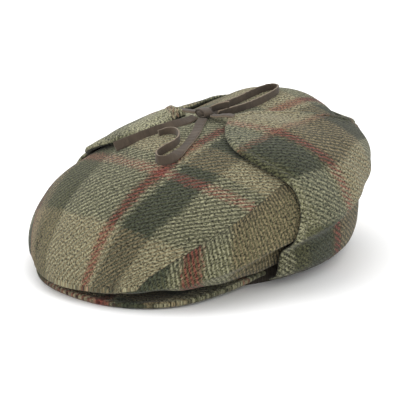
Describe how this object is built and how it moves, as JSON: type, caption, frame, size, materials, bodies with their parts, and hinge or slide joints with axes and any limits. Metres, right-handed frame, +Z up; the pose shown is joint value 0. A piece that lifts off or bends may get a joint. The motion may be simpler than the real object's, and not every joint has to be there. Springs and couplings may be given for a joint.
{
  "type": "flat cap with tied ear flaps",
  "caption": "Tweed flat cap, deerstalker style, with a short peak and padded ear flaps folded up over the crown and tied on top with a suede lace.",
  "frame": {"origin": "centre of the cap's plan box, on the surface it rests on", "axes": "+Z up, -Y towards the peak, +X towards the wearer's left"},
  "size_m": [0.2481, 0.2878, 0.1197],
  "materials": {
    "tweed": "matt checked wool twill",
    "lining": "matt woven band",
    "suede": "dull suede"
  },
  "bodies": {
    "root": {"headband": "lining", "top_panel": "tweed", "side_panel_left": "tweed", "side_panel_right": "tweed", "peak": "tweed", "ear_flap_left": "tweed", "ear_flap_right": "tweed", "lace_knot": "suede", "lace_loop": "suede", "lace_stub": "suede", "lace_long_tail": "suede", "lace_hooked_tail": "suede", "lace_tie_left": "suede", "lace_tie_right": "suede"}
  },
  "joints": []
}
